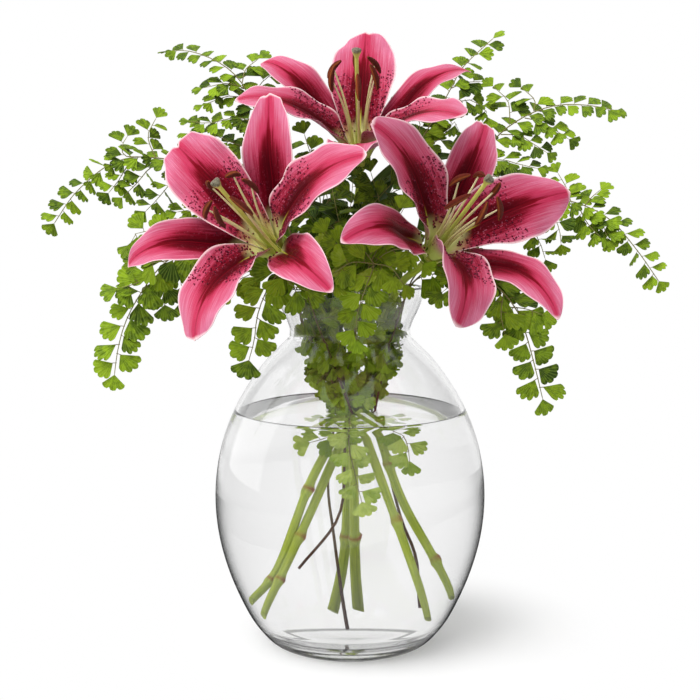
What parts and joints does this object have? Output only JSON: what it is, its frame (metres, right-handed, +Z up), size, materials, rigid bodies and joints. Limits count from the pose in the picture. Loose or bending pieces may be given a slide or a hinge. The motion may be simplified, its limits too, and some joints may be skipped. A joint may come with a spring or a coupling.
{
  "type": "lilies in a vase",
  "caption": "Cut pink lilies with maidenhair fern, standing in water in a clear glass vase with a round body, narrow neck and flared rim; a free-standing table arrangement.",
  "frame": {"origin": "centre of the vase's flat underside, on the surface it stands on", "axes": "+Z up along the vase's axis, -Y towards the viewer that the flowers face, +X to the viewer's right"},
  "size_m": [0.415, 0.2251, 0.4156],
  "materials": {
    "glass": "gloss",
    "water": "gloss",
    "stem": "satin",
    "tepal": "satin",
    "pistil": "satin",
    "stamen": "matte",
    "fern": "matte"
  },
  "bodies": {
    "root": {"vase_body": "glass", "vase_low_shoulder": "glass", "vase_high_shoulder": "glass", "vase_neck": "glass", "water": "water", "stem_left_lily": "stem", "stem_right_lily": "stem", "stem_top_lily": "stem", "stem_leafy_left": "stem", "stem_leafy_right": "stem", "stem_leafy_back": "stem", "pistil_left": "pistil", "pistil_right": "pistil", "pistil_top": "pistil", "stamen_left_1": "stamen", "stamen_left_2": "stamen", "stamen_left_3": "stamen", "stamen_left_4": "stamen", "stamen_left_5": "stamen", "stamen_left_6": "stamen", "stamen_right_1": "stamen", "stamen_right_2": "stamen", "stamen_right_3": "stamen", "stamen_right_4": "stamen", "stamen_right_5": "stamen", "stamen_right_6": "stamen", "stamen_top_1": "stamen", "stamen_top_2": "stamen", "stamen_top_3": "stamen", "stamen_top_4": "stamen", "stamen_top_5": "stamen", "stamen_top_6": "stamen", "tepal_left_inner_1": "tepal", "tepal_left_inner_2": "tepal", "tepal_left_inner_3": "tepal", "tepal_left_outer_1": "tepal", "tepal_left_outer_2": "tepal", "tepal_left_outer_3": "tepal", "tepal_right_inner_1": "tepal", "tepal_right_inner_2": "tepal", "tepal_right_inner_3": "tepal", "tepal_right_outer_1": "tepal", "tepal_right_outer_2": "tepal", "tepal_right_outer_3": "tepal", "tepal_top_inner_1": "tepal", "tepal_top_inner_2": "tepal", "tepal_top_inner_3": "tepal", "tepal_top_outer_1": "tepal", "tepal_top_outer_2": "tepal", "tepal_top_outer_3": "tepal", "fern_upper_left": "fern", "fern_left": "fern", "fern_lower_left": "fern", "fern_front_left": "fern", "fern_front": "fern", "fern_lower_right": "fern", "fern_right": "fern", "fern_upper_right": "fern", "fern_top_right": "fern", "fern_middle": "fern"}
  },
  "joints": []
}
